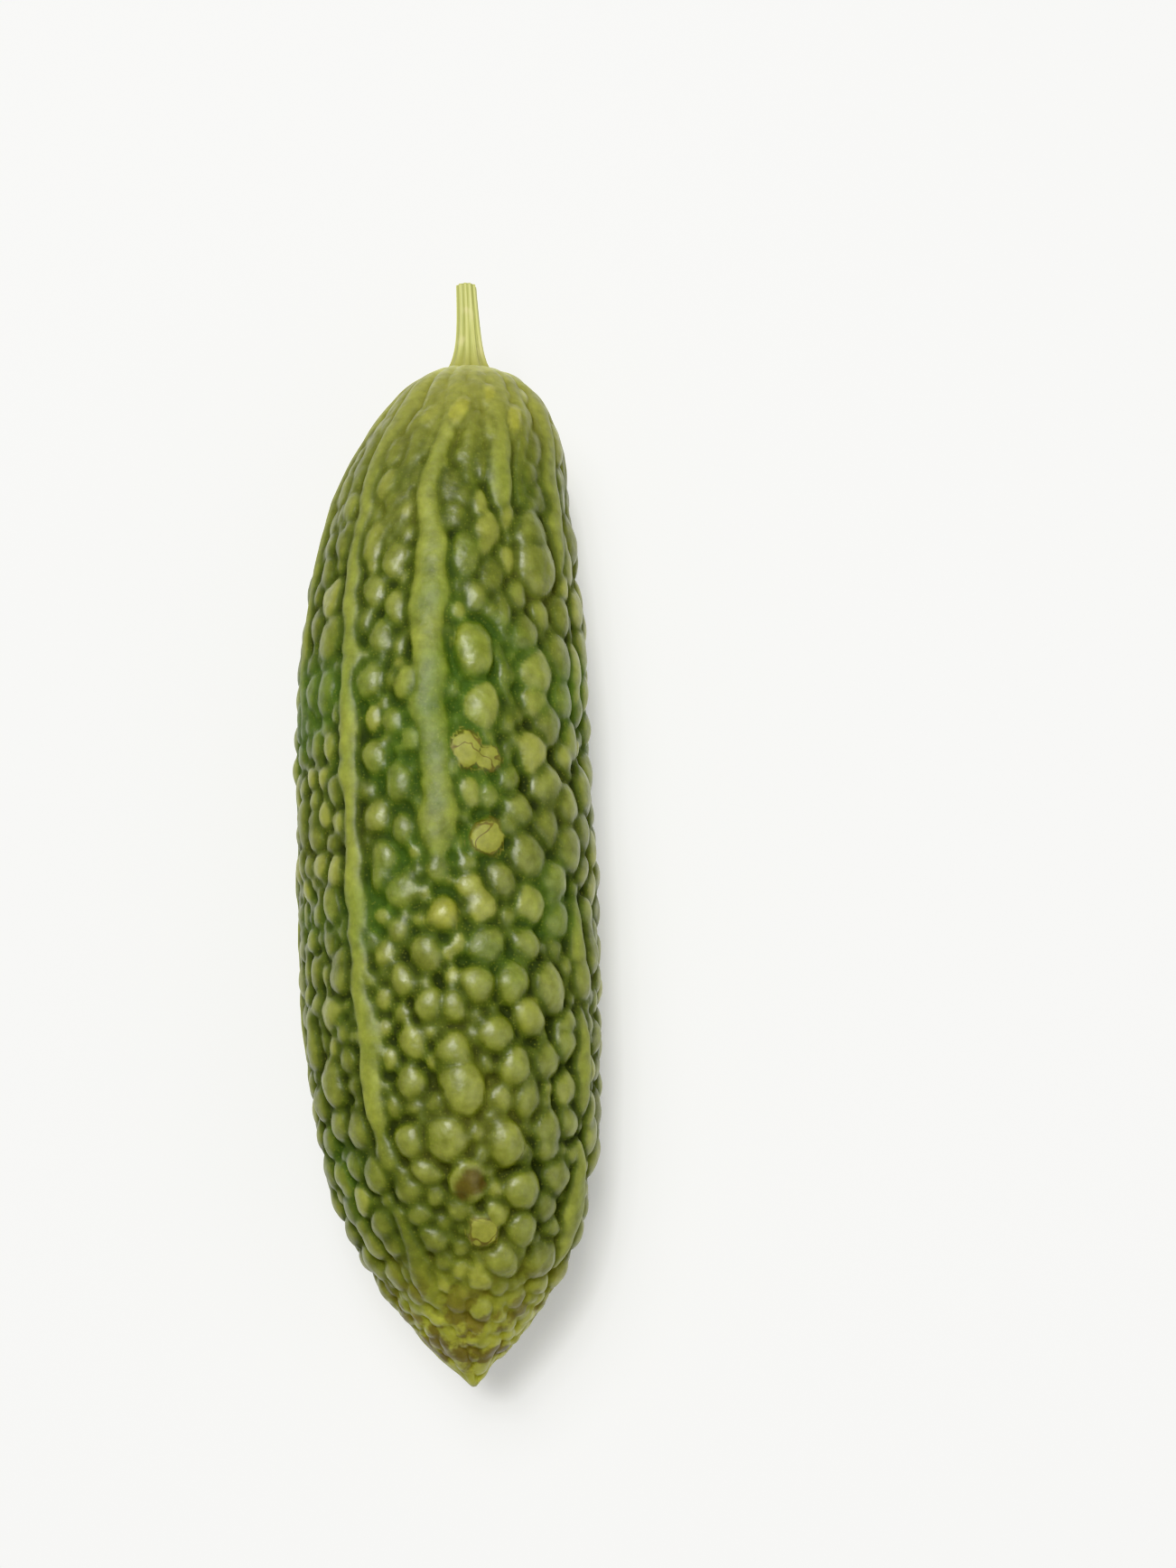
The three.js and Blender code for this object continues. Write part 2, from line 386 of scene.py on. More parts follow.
# ---------------------------------------------------------------- the seeds
#
# A seed is the middle of a wart, and a ridge is a close row of them. Each has its reach, which is half the
# width of its wart, and its shade, from 0 to 1. Smooth is 1 on the unbroken stretches of the ridges.

LINE_POINTS = 300
BEAD_LENGTH = 0.05  # of the fruit's length, on broken ridges
RIDGE_WANDER = math.radians(15)
RIDGE_SWELL = 0.9  # how much the ridges swell and narrow
BROKEN_REACH = 0.45  # the share of its width that a fading ridge keeps
KNOB_SHARE = 0.14  # the share of a ridge's points, 0.8 mm apart, that have a knob
KNOB_REACH = (0.5, 0.85)  # of the ridge's own
KNOB_OFFSET = (0.9, 0.4, 0.9)  # how far it may stand off, in the ridge's half widths

# How near two warts' middles may come, as a share of their half widths together, for the first generation and
# for the last.
CLOSENESS = (0.78, 0.64)
MOST_SEEDS = 900000.0  # tries for each square metre
PATCH = 32 * MM  # size of the patches that a generation leaves out
CROP = 26 * MM  # size of the patches in which warts are larger or smaller
CROP_SIZES = (0.8, 1.1)  # the factors on their half widths
SIDE_GAIN = 0.12  # how much larger the warts are on the right, and smaller on the left
TIP_SHRINKING = 0.45  # how much smaller they are at the blossom tip
TWIN_OFFSET = (0.45, 1.0, 0.45)  # how far a twin may stand off, in the first one's half widths
TWIN_REACH = 0.86  # of the first one's


def seeds_from_lines(tree, guides):
    """The ridges as close rows of seeds, which waver a little and swell and narrow."""
    lines = add(tree, "GeometryNodeMeshToCurve", guides)
    lines = add(tree, "GeometryNodeResampleCurve", lines, None, LINE_POINTS, mode="COUNT")
    seeds = add(tree, "GeometryNodeCurveToPoints", lines, mode="EVALUATED")
    along = add(tree, READ, "along")
    whole = add(tree, READ, "whole")
    lane = add(tree, "ShaderNodeCombineXYZ", along, add(tree, READ, "ridge"), 0.0)
    wander = add(tree, NOISE, lane, 10.0, 2.0)
    wander = add(tree, MATH, wander, -0.5, operation="ADD")
    below_stem = add(tree, RANGE, along, 0.02, 0.2, **SMOOTH)
    wander = add(tree, MATH, wander, below_stem, operation="MULTIPLY")
    angle = add(tree, MATH, wander, RIDGE_WANDER, add(tree, READ, "angle"), operation="MULTIPLY_ADD")
    swell = add(tree, NOISE, lane, 11.0, 2.0)
    swell = add(tree, MATH, swell, RIDGE_SWELL, 1 - RIDGE_SWELL / 2, operation="MULTIPLY_ADD")
    beads = add(tree, NOISE, lane, 1 / BEAD_LENGTH, 0.0)
    beads = add(tree, MATH, beads, add(tree, READ, "gaps"), operation="SUBTRACT")
    present = add(tree, RANGE, beads, -0.08, 0.08, **SMOOTH)
    present = add(tree, MIX, whole, present, 1.0)
    reach = add(tree, MATH, add(tree, READ, "reach"), swell, operation="MULTIPLY")
    thin = add(tree, MATH, present, 1 - BROKEN_REACH, BROKEN_REACH, operation="MULTIPLY_ADD")
    reach = add(tree, MATH, reach, thin, operation="MULTIPLY")
    shade = add(tree, NOISE, lane, 5.0, 1.0)
    stored = {"present": present, "reach": reach, "angle": angle, "kind": 0.0, "shade": shade}
    for name, value in {**stored, "smooth": whole}.items():
        seeds = add(tree, STORE, seeds, None, name, value)
    gap = add(tree, MATH, add(tree, READ, "present"), 0.25, operation="LESS_THAN")
    seeds = add(tree, "GeometryNodeDeleteGeometry", seeds, gap, domain="POINT")

    # Knobs that stand a little off the ridge's middle and make its edges uneven.
    chosen = add(tree, RANDOM, KNOB_SHARE, named={"Seed": 21}, data_type="BOOLEAN")
    knobs = add(tree, "GeometryNodeSeparateGeometry", seeds, chosen, domain="POINT")
    low = tuple(-share for share in KNOB_OFFSET)
    nudge = add(tree, RANDOM, low, KNOB_OFFSET, named={"Seed": 22}, **VECTOR)
    reach = add(tree, READ, "reach")
    nudge = add(tree, VECTOR_MATH, nudge, reach, operation="SCALE")
    knobs = add(tree, STORE, knobs, None, "nudge", nudge, **VECTOR)
    share = add(tree, RANDOM, *KNOB_REACH, named={"Seed": 23})
    knobs = add(tree, STORE, knobs, None, "reach", add(tree, MATH, reach, share, operation="MULTIPLY"))
    return add(tree, JOIN, [seeds, knobs])


def placed_seeds(tree, size, chart, guides):
    """The seeds of the ridges and of the listed single warts."""
    single = add(tree, READ, "single", data_type="BOOLEAN")
    singles = add(tree, "GeometryNodeMeshToPoints", guides, single)
    singles = add(tree, STORE, singles, None, "shade", 0.5)
    seeds = add(tree, JOIN, [seeds_from_lines(tree, guides), singles])
    along = add(tree, READ, "along")
    place = chart_point(tree, size, add(tree, READ, "angle"), along, girth(tree, size, along))
    seeds = add(tree, MOVE, seeds, None, place)
    seeds = add(tree, MOVE, seeds, None, None, add(tree, READ, "nudge", **VECTOR))
    return settle(tree, size, chart, seeds)


def settle(tree, size, chart, seeds):
    """Puts seeds on the chart, keeps each one's foot there, and lifts it off the chart by the height that
    makes the nearest lifted seed the one whose wart stands highest."""
    sampled = []
    for field in (POSITION, NORMAL):
        values = (chart, add(tree, field), None, add(tree, POSITION))
        sampled.append(add(tree, "GeometryNodeSampleNearestSurface", *values, **VECTOR))
    place, outward = sampled
    seeds = add(tree, MOVE, seeds, None, place)
    seeds = add(tree, STORE, seeds, None, "foot", add(tree, POSITION), **VECTOR)
    reach = add(tree, READ, "reach")
    squared = add(tree, MATH, reach, reach, operation="MULTIPLY")
    largest = add(tree, MATH, size["Largest Reach"], size["Largest Reach"], operation="MULTIPLY")
    lift = add(tree, MATH, largest, squared, operation="SUBTRACT")
    lift = add(tree, MATH, lift, 0.0, operation="MAXIMUM")
    lift = add(tree, MATH, lift, operation="SQRT")
    offset = add(tree, VECTOR_MATH, outward, lift, operation="SCALE")
    return add(tree, MOVE, seeds, None, None, offset)


def highest_seed(tree, seeds, place):
    """How to read an attribute of the seed whose wart is highest at a place on the chart."""
    index = add(tree, "GeometryNodeSampleNearest", seeds, place)

    def read(name, **settings):
        value = add(tree, READ, name, **settings)
        return add(tree, "GeometryNodeSampleIndex", seeds, value, index, **settings)

    return read


def random_seeds(tree, size, chart, older, generation, order):
    """One generation of warts, scattered where the older and larger seeds leave room."""
    along = add(tree, READ, "along")
    place = add(tree, POSITION)
    after = add(tree, MATH, along, generation["start"], operation="GREATER_THAN")
    before = add(tree, MATH, along, generation["end"], operation="LESS_THAN")
    inside = add(tree, MATH, after, before, operation="MULTIPLY")
    patches = add(tree, NOISE, place, 1 / PATCH, 1.0)
    patches = add(tree, MATH, patches, generation["patchy"], operation="GREATER_THAN")
    inside = add(tree, MATH, inside, patches, operation="MULTIPLY")
    seed = add(tree, MATH, size["Seed"], float(order * 11), operation="ADD")
    values = (chart, inside, generation["spacing"] * MM, MOST_SEEDS)
    scatter = {"named": {"Seed": seed}, "distribute_method": "POISSON"}
    seeds = add(tree, "GeometryNodeDistributePointsOnFaces", *values, **scatter)

    low, high = generation["least"] * MM, generation["most"] * MM
    reach = add(tree, RANDOM, low, high, named={"Seed": order})
    tip = add(tree, RANGE, along, 1.0, 0.8, **SMOOTH)
    tip = add(tree, MATH, tip, TIP_SHRINKING, 1 - TIP_SHRINKING, operation="MULTIPLY_ADD")
    crop = add(tree, NOISE, place, 1 / CROP, 1.0)
    crop = add(tree, RANGE, crop, 0.35, 0.65, *CROP_SIZES)
    side = add(tree, "ShaderNodeSeparateXYZ", place, output="X")
    side = add(tree, MATH, side, SIDE_GAIN / FRUIT_RADIUS, 1.0, operation="MULTIPLY_ADD")
    for share in (tip, crop, side):
        reach = add(tree, MATH, reach, share, operation="MULTIPLY")
    shade = add(tree, RANDOM, named={"Seed": order + 5})
    for name, value in {"reach": reach, "kind": 0.0, "smooth": 0.0, "shade": shade}.items():
        seeds = add(tree, STORE, seeds, None, name, value)

    reach = add(tree, READ, "reach")
    read = highest_seed(tree, older, place)
    apart = add(tree, VECTOR_MATH, place, read("foot", **VECTOR), operation="DISTANCE")
    room = add(tree, MATH, read("reach"), reach, operation="ADD")
    first, last = CLOSENESS
    closeness = first + (last - first) * order / (len(GENERATIONS) - 1)
    room = add(tree, MATH, room, closeness, operation="MULTIPLY")
    crowded = add(tree, MATH, apart, room, operation="LESS_THAN")
    seeds = add(tree, "GeometryNodeDeleteGeometry", seeds, crowded, domain="POINT")
    if not generation["twins"]:
        return seeds
    chosen = add(tree, RANDOM, generation["twins"], named={"Seed": order + 9}, data_type="BOOLEAN")
    twins = add(tree, "GeometryNodeSeparateGeometry", seeds, chosen, domain="POINT")
    low = tuple(-share for share in TWIN_OFFSET)
    step = add(tree, RANDOM, low, TWIN_OFFSET, named={"Seed": order + 3}, **VECTOR)
    step = add(tree, VECTOR_MATH, step, reach, operation="SCALE")
    twins = add(tree, MOVE, twins, None, None, step)
    twins = add(tree, STORE, twins, None, "reach", add(tree, MATH, reach, TWIN_REACH, operation="MULTIPLY"))
    return add(tree, JOIN, [seeds, twins])


# ---------------------------------------------------------------- the fruit's skin

RIDGE_BELL = 5 * MM  # how far from a ridge its swelling has fallen by two thirds
OUTLINE_WAVES = 8 * MM  # size of the waves in the warts' outlines
DEEPEST_GAP = 0.5 * MM  # how far the skin sinks where no wart reaches, before the steepness
LOW_SHOULDER = 0.7  # the warts' height near the stem, as a share of that further down
BROAD_REACH = (3.0 * MM, 5.0 * MM)  # half widths between which a ridge counts more and more as broad
RIDGE_FLATNESS = 0.3  # how much lower the middle of a broad ridge is than a round one
LUMPINESS = 0.9 * MM  # how far the skin strays over a few millimetres, ridges and warts included
LUMP = 5 * MM  # size of those lumps, and of a pit's ragged edge
WORN_HEIGHT = 0.9  # of a scarred wart, as a share of a sound one's
PIT_DEPTH = 0.9 * MM
CREASE_SHARPNESS = 1.2  # how much deeper narrow creases are than where two warts would meet
UNEVENNESS = 2.4 * MM  # the range over which the fruit's radius strays, in long waves
UNEVEN_WAVES = 38 * MM


def wart_height(tree, size, power):
    """How high the skin stands where the square of half a wart's width exceeds that of the distance from its
    middle by power. The crowding lets a wart's side go on falling past its half width, under its
    neighbours."""
    soft = add(tree, MATH, size["Crowding"], size["Crowding"], operation="MULTIPLY")
    raised = add(tree, MATH, power, soft, operation="ADD")
    raised = add(tree, MATH, raised, 0.0, operation="MAXIMUM")
    heights = []
    for area in (raised, soft):
        area = add(tree, MATH, area, 1 / MM**2, operation="MULTIPLY")
        heights.append(add(tree, MATH, area, size["Crest Power"], operation="POWER"))
    rise = add(tree, MATH, *heights, operation="SUBTRACT")
    return add(tree, MATH, rise, MM, operation="MULTIPLY")


def mark_ridges(tree, chart, ridge_seeds):
    """Stores bell: 1 on the middle of a ridge, falling to nothing beside it."""
    position = add(tree, POSITION)
    near = add(tree, "GeometryNodeSampleNearest", ridge_seeds, position)
    foot = add(tree, READ, "foot", **VECTOR)
    foot = add(tree, "GeometryNodeSampleIndex", ridge_seeds, foot, near, **VECTOR)
    off = add(tree, VECTOR_MATH, position, foot, operation="DISTANCE")
    off = add(tree, MATH, off, 1 / RIDGE_BELL, operation="MULTIPLY")
    bell = add(tree, MATH, off, off, operation="MULTIPLY")
    bell = add(tree, MATH, bell, -1.0, operation="MULTIPLY")
    bell = add(tree, MATH, bell, operation="EXPONENT")
    return add(tree, STORE, chart, None, "bell", bell)


def mark_warts(tree, size, chart, seeds):
    """Stores what each point needs to know of the wart that covers it."""
    position = add(tree, POSITION)
    waver = add(tree, NOISE, position, 1 / OUTLINE_WAVES, 2.5, output="Color")
    waver = add(tree, VECTOR_MATH, waver, (0.5, 0.5, 0.5), operation="SUBTRACT")
    doubled = add(tree, MATH, size["Waver"], 2.0, operation="MULTIPLY")
    waver = add(tree, VECTOR_MATH, waver, doubled, operation="SCALE")
    place = add(tree, VECTOR_MATH, position, waver, operation="ADD")
    chart = add(tree, STORE, chart, None, "place", place, **VECTOR)
    place = add(tree, READ, "place", **VECTOR)
    read = highest_seed(tree, seeds, place)
    away = add(tree, VECTOR_MATH, place, read("foot", **VECTOR), operation="DISTANCE")
    chart = add(tree, STORE, chart, None, "away", away)
    for name in ("reach", "kind", "shade", "smooth"):
        chart = add(tree, STORE, chart, None, name, read(name))
    for name in ("shade", "smooth"):
        blurred = add(tree, BLUR, add(tree, READ, name), 3, 1.0, data_type="FLOAT")
        chart = add(tree, STORE, chart, None, name, blurred)
    core = add(tree, MATH, add(tree, READ, "away"), add(tree, READ, "reach"), operation="DIVIDE")
    chart = add(tree, STORE, chart, None, "core", core)
    for kind, name in KIND_NAMES.items():
        same = add(tree, MATH, add(tree, READ, "kind"), float(kind), 0.1, operation="COMPARE")
        chart = add(tree, STORE, chart, None, name, same)
    return chart


def raise_warts(tree, size, chart):
    """Stores the height of the skin at each point of the chart."""
    position = add(tree, POSITION)
    along, reach, away = (add(tree, READ, name) for name in ("along", "reach", "away"))
    squared = add(tree, MATH, reach, reach, operation="MULTIPLY")
    power = add(tree, MATH, away, away, operation="MULTIPLY")
    power = add(tree, MATH, power, -1.0, squared, operation="MULTIPLY_ADD")
    dome = add(tree, MATH, wart_height(tree, size, power), -DEEPEST_GAP, operation="MAXIMUM")
    steep = add(tree, RANGE, along, 0.08, 0.42, **SMOOTH)
    steep = add(tree, MATH, steep, 1 - LOW_SHOULDER, LOW_SHOULDER, operation="MULTIPLY_ADD")
    steep = add(tree, MATH, steep, size["Steepness"], operation="MULTIPLY")
    broad = add(tree, RANGE, reach, *BROAD_REACH, **SMOOTH)
    for name in ("smooth", "bell"):
        broad = add(tree, MATH, broad, add(tree, READ, name), operation="MULTIPLY")
    broad = add(tree, MATH, broad, -RIDGE_FLATNESS, 1.0, operation="MULTIPLY_ADD")
    steep = add(tree, MATH, steep, broad, operation="MULTIPLY")
    height = add(tree, MATH, dome, steep, operation="MULTIPLY")
    lumps = add(tree, NOISE, position, 1 / LUMP, 1.0)
    height = add(tree, MATH, lumps, LUMPINESS, height, operation="MULTIPLY_ADD")

    # A scarred wart is worn flat, and a pitted one has a hollow.
    summit = add(tree, MATH, wart_height(tree, size, squared), steep, operation="MULTIPLY")
    ceiling = add(tree, MATH, summit, WORN_HEIGHT, operation="MULTIPLY")
    lowered = add(tree, MATH, height, ceiling, operation="MINIMUM")
    height = add(tree, MIX, add(tree, READ, "scarred"), height, lowered)
    ragged = add(tree, NOISE, position, 1 / LUMP, 3.0)
    middle = add(tree, MATH, ragged, 1.4, add(tree, READ, "core"), operation="MULTIPLY_ADD")
    hollow = add(tree, RANGE, middle, 1.5, 1.15, **SMOOTH)
    pitted = add(tree, READ, "pitted")
    chart = add(tree, STORE, chart, None, "pitted", add(tree, MATH, hollow, pitted, operation="MULTIPLY"))
    height = add(tree, MATH, pitted, -PIT_DEPTH, height, operation="MULTIPLY_ADD")
    return add(tree, STORE, chart, None, "height", height)


def sharpen_creases(tree, chart):
    """Softens the height by one step, deepens what lies below its surroundings, and stores relief: how many
    millimetres each point then stands above or below them."""
    height = add(tree, READ, "height")
    chart = add(tree, STORE, chart, None, "height", add(tree, BLUR, height, 1, 1.0, data_type="FLOAT"))
    around = add(tree, BLUR, height, 6, 1.0, data_type="FLOAT")
    dip = add(tree, MATH, height, around, operation="SUBTRACT")
    dip = add(tree, MATH, dip, 0.0, operation="MINIMUM")
    deeper = add(tree, MATH, dip, CREASE_SHARPNESS, height, operation="MULTIPLY_ADD")
    chart = add(tree, STORE, chart, None, "height", deeper)
    around = add(tree, BLUR, height, 14, 1.0, data_type="FLOAT")
    relief = add(tree, MATH, height, around, operation="SUBTRACT")
    relief = add(tree, MATH, relief, 1 / MM, operation="MULTIPLY")
    return add(tree, STORE, chart, None, "relief", relief)


def bend_chart(tree, size, chart):
    """Turns the chart into the fruit: at its full length, bowed, a little uneven, swelling under the ridges,
    with its warts raised, and pressed flat where it would reach below the surface it rests on."""
    position = add(tree, POSITION)
    bare, along, bell = (add(tree, READ, name) for name in ("girth", "along", "bell"))
    girth_share = add(tree, MATH, bare, size["Skin Radius"], operation="DIVIDE")
    lobe = add(tree, MATH, bell, girth_share, operation="MULTIPLY")
    lobe = add(tree, MATH, lobe, size["Lobe Height"], operation="MULTIPLY")
    uneven = add(tree, NOISE, position, 1 / UNEVEN_WAVES, 1.0)
    uneven = add(tree, MATH, uneven, -0.5, operation="ADD")
    uneven = add(tree, MATH, uneven, girth_share, operation="MULTIPLY")
    radius = add(tree, MATH, uneven, UNEVENNESS, bare, operation="MULTIPLY_ADD")
    radius = add(tree, MATH, radius, lobe, operation="ADD")
    back = add(tree, MATH, size["Fruit Length"], -1.0, operation="MULTIPLY")
    y = add(tree, MATH, along, back, operation="MULTIPLY")
    place = ring_point(tree, add(tree, READ, "angle"), radius, y)
    arc = add(tree, MATH, along, size["Bow Skew"], operation="POWER")
    arc = add(tree, MATH, arc, math.pi, operation="MULTIPLY")
    arc = add(tree, MATH, arc, operation="SINE")
    bend = add(tree, MATH, arc, size["Bow"], operation="MULTIPLY")
    run_in = add(tree, RANGE, along, 0.0, BOW_RUN_IN, **SMOOTH)
    bend = add(tree, MATH, bend, run_in, operation="MULTIPLY")
    bend = add(tree, MATH, bend, -1.0, operation="MULTIPLY")
    for offset in (add(tree, "ShaderNodeCombineXYZ", bend), size["Stem End"]):
        place = add(tree, VECTOR_MATH, place, offset, operation="ADD")
    fruit = add(tree, MOVE, chart, None, place)
    outward = add(tree, VECTOR_MATH, add(tree, NORMAL), add(tree, READ, "height"), operation="SCALE")
    fruit = add(tree, MOVE, fruit, None, None, outward)
    x, y, z = add(tree, "ShaderNodeSeparateXYZ", add(tree, POSITION)).node.outputs
    z = add(tree, MATH, z, 0.0, operation="MAXIMUM")
    return add(tree, MOVE, fruit, None, add(tree, "ShaderNodeCombineXYZ", x, y, z))


def skin_tree():
    """Grows the whole skin from guides: seeds first, then the height of the wart that covers each point."""
    tree = bpy.data.node_groups.new("Warty Skin", "GeometryNodeTree")
    tree.interface.new_socket("Guides", in_out="INPUT", socket_type="NodeSocketGeometry")
    for name, kind, _ in SKIN_INPUTS:
        tree.interface.new_socket(name, in_out="INPUT", socket_type=kind)
    for name, default in FINENESS.items():
        kind = "NodeSocketInt" if isinstance(default, int) else "NodeSocketFloat"
        tree.interface.new_socket(name, in_out="INPUT", socket_type=kind).default_value = default
    tree.interface.new_socket("Stem End", in_out="INPUT", socket_type="NodeSocketVector")
    tree.interface.new_socket("Skin", in_out="INPUT", socket_type="NodeSocketMaterial")
    tree.interface.new_socket("Fruit", in_out="OUTPUT", socket_type="NodeSocketGeometry")
    size = tree.nodes.new("NodeGroupInput").outputs

    chart = chart_surface(tree, size)
    ridge_seeds = placed_seeds(tree, size, chart, size["Guides"])
    seeds = ridge_seeds
    for order, generation in enumerate(GENERATIONS):
        fresh = random_seeds(tree, size, chart, seeds, generation, order)
        seeds = add(tree, JOIN, [seeds, settle(tree, size, chart, fresh)])
    chart = mark_ridges(tree, chart, ridge_seeds)
    chart = mark_warts(tree, size, chart, seeds)
    chart = raise_warts(tree, size, chart)
    chart = sharpen_creases(tree, chart)
    fruit = bend_chart(tree, size, chart)
    fruit = add(tree, "GeometryNodeSetShadeSmooth", fruit)
    fruit = add(tree, "GeometryNodeRealizeInstances", fruit)
    fruit = add(tree, "GeometryNodeSetMaterial", fruit, None, size["Skin"])
    add(tree, "NodeGroupOutput", fruit)
    return tree


def through(values, along):
    """A value at a share of the length, on the parabola through those at the stem, the middle and the tip."""
    first, middle, last = values
    lean = 4 * middle - 3 * first - last
    curve = 2 * first + 2 * last - 4 * middle
    return first + lean * along + curve * along * along


def fade_in_stretches(along, stretches):
    """1 inside the stretches, 0 outside them, with soft ends."""
    shares = [min(along - start, end - along) / WHOLE_FADE + 0.5 for start, end in stretches]
    return max(0.0, min(1.0, max(shares)))


def guide_points(number, line):
    """One ridge's or rib's points, narrower towards its two ends."""
    points = []
    for step in range(RIDGE_STEPS + 1):
        along = POLE_SHARE + (line["end"] - 2 * POLE_SHARE) * step / RIDGE_STEPS
        taper = min(1.0, 0.5 + along / 0.12)
        if line["end"] < 1:
            taper *= min(1.0, (line["end"] - along) / 0.12)
        else:
            taper *= min(1.0, 0.25 + (1 - along) / 0.14)
        points.append(
            {
                "angle": math.radians(through(line["angles"], along)),
                "along": along,
                "reach": through(line["widths"], along) * taper * MM,
                "whole": fade_in_stretches(along, line["whole"]),
                "gaps": line["gaps"],
                "ridge": number * 3.7,
            }
        )
    return points


def guide_mesh():
    """The ridges as lines and the landmark warts as loose points. Their attributes say where they lie."""
    lines = [dict(ridge, end=1.0) for ridge in RIDGES]
    following = [*RIDGES[1:], dict(RIDGES[0], angles=[a + 360 for a in RIDGES[0]["angles"]])]
    for number, (ridge, after) in enumerate(zip(RIDGES, following)):
        middle = [(a + b) / 2 + 2 * math.sin(5 * number) for a, b in zip(ridge["angles"], after["angles"])]
        lines.append(dict(RIB, angles=middle))
    points, edges = [], []
    for number, line in enumerate(lines):
        start = len(points)
        points += guide_points(number, line)
        edges += [(i, i + 1) for i in range(start, len(points) - 1)]
    singles = len(points)
    for angle, along, half_width, kind in LANDMARKS:
        points.append({"angle": math.radians(angle), "along": along, "reach": half_width * MM, "kind": kind})
    mesh = bpy.data.meshes.new("guides")
    mesh.from_pydata([(p["angle"], p["along"], 0) for p in points], edges, [])
    for name in ("angle", "along", "reach", "whole", "gaps", "ridge", "kind"):
        values = [float(p.get(name, 0.0)) for p in points]
        mesh.attributes.new(name, "FLOAT", "POINT").data.foreach_set("value", values)
    single = [i >= singles for i in range(len(points))]
    mesh.attributes.new("single", "BOOLEAN", "POINT").data.foreach_set("value", single)
    return mesh


SKIN_MARKS = ("relief", "along", "shade", "smooth", "core", "scarred", "rubbed", "ripe", "pitted")


def skin_colour(tree, colours, place, marks, ridge, scar):
    """The rind's colour: darkest in the creases, partly darker green and partly painted shade, and palest on
    the crowns, yellower at both ends, with green and yellow patches, and with the blemishes of single warts
    on top."""
    relief, along, scarred = marks["relief"], marks["along"], marks["scarred"]
    raised = add(tree, RANGE, relief, -0.3, 0.3, **SMOOTH)
    patches = add(tree, NOISE, place, 1 / (40 * MM), 2.0)
    pale = add(tree, RANGE, marks["shade"], 0.6, 0.95, **SMOOTH)
    pale = add(tree, MATH, pale, raised, operation="MULTIPLY")
    # Fine pale dots, about 0.9 mm apart.
    dots = add(tree, "ShaderNodeTexVoronoi", place, 1 / (0.9 * MM))
    core = marks["core"]
    around = add(tree, RANGE, core, 1.26, 1.14, **SMOOTH)
    around = add(tree, MATH, around, scarred, operation="MULTIPLY")
    rubbed = add(tree, RANGE, core, 1.3, 0.8, **SMOOTH)
    rubbed = add(tree, MATH, rubbed, marks["rubbed"], operation="MULTIPLY")
    ripe = add(tree, RANGE, core, 1.35, 0.7, **SMOOTH)
    ripe = add(tree, MATH, ripe, marks["ripe"], operation="MULTIPLY")
    scratch = add(tree, NOISE, place, 1 / (5 * MM), 1.0, named={"Distortion": 0.6})
    scratch = add(tree, MATH, scratch, -0.5, operation="ADD")
    scratch = add(tree, MATH, scratch, operation="ABSOLUTE")
    scratch = add(tree, RANGE, scratch, 0.045, 0.01, **SMOOTH)
    scratch = add(tree, MATH, scratch, scar, operation="MULTIPLY")
    stains = add(tree, NOISE, place, 1 / (6 * MM), 5.0)
    stains = add(tree, RANGE, stains, 0.47, 0.58, **SMOOTH)
    near_tip = add(tree, RANGE, along, 0.86, 0.96, **SMOOTH)
    stains = add(tree, MATH, stains, near_tip, operation="MULTIPLY")

    # Each layer lies over those before it: where it shows, how strongly, and its colour.
    layers = [
        (add(tree, RANGE, relief, -0.15, 0.6, **SMOOTH), 1.0, colours.crown),
        (ridge, 0.62, colours.ridge),
        (add(tree, RANGE, patches, 0.52, 0.75, **SMOOTH), 0.2, colours.yellowing),
        (add(tree, RANGE, patches, 0.5, 0.32, **SMOOTH), 0.5, colours.fresh),
        (pale, 0.35, colours.yellowing),
        (add(tree, RANGE, along, 0.16, 0.0, **SMOOTH), 0.75, colours.yellowing),
        (add(tree, RANGE, along, 0.85, 0.98, **SMOOTH), 0.8, colours.tip),
        (add(tree, RANGE, along, 0.03, 0.004, **SMOOTH), 0.8, colours.stalk),
        (add(tree, RANGE, dots, 0.34, 0.12, **SMOOTH), 0.16, colours.scar),
        (rubbed, 0.35, colours.scar),
        (ripe, 0.5, colours.ripe_spot),
        (around, 0.5, colours.bruise),
        (scar, 0.7, colours.scar),
        (scratch, 0.75, colours.bruise),
        (marks["pitted"], 0.8, colours.bruise),
        (stains, 0.8, colours.bruise),
    ]
    # Where the skin sinks below its surroundings it is darkened towards the crease green: partly the rind's
    # darker green, partly painted shade.
    low = add(tree, RANGE, relief, -0.85, -0.05, **SMOOTH)
    colour = add(tree, MIX, low, colours.crease[:], colours.flank[:], **COLOUR)
    for shows, strength, tint in layers:
        share = add(tree, MATH, shows, strength, operation="MULTIPLY")
        colour = add(tree, MIX, share, colour, tint[:], **COLOUR)

    # Every wart has its own shade, and the whole skin is finely mottled.
    mottle = add(tree, NOISE, place, 1 / (2.2 * MM), 4.0)
    mottle = add(tree, MATH, mottle, 0.9, -0.45, operation="MULTIPLY_ADD")
    value = add(tree, MATH, marks["shade"], 0.3, 0.85, operation="MULTIPLY_ADD")
    value = add(tree, MATH, value, mottle, operation="ADD")
    return add(tree, "ShaderNodeHueSaturation", named={"Value": value, "Color": colour})


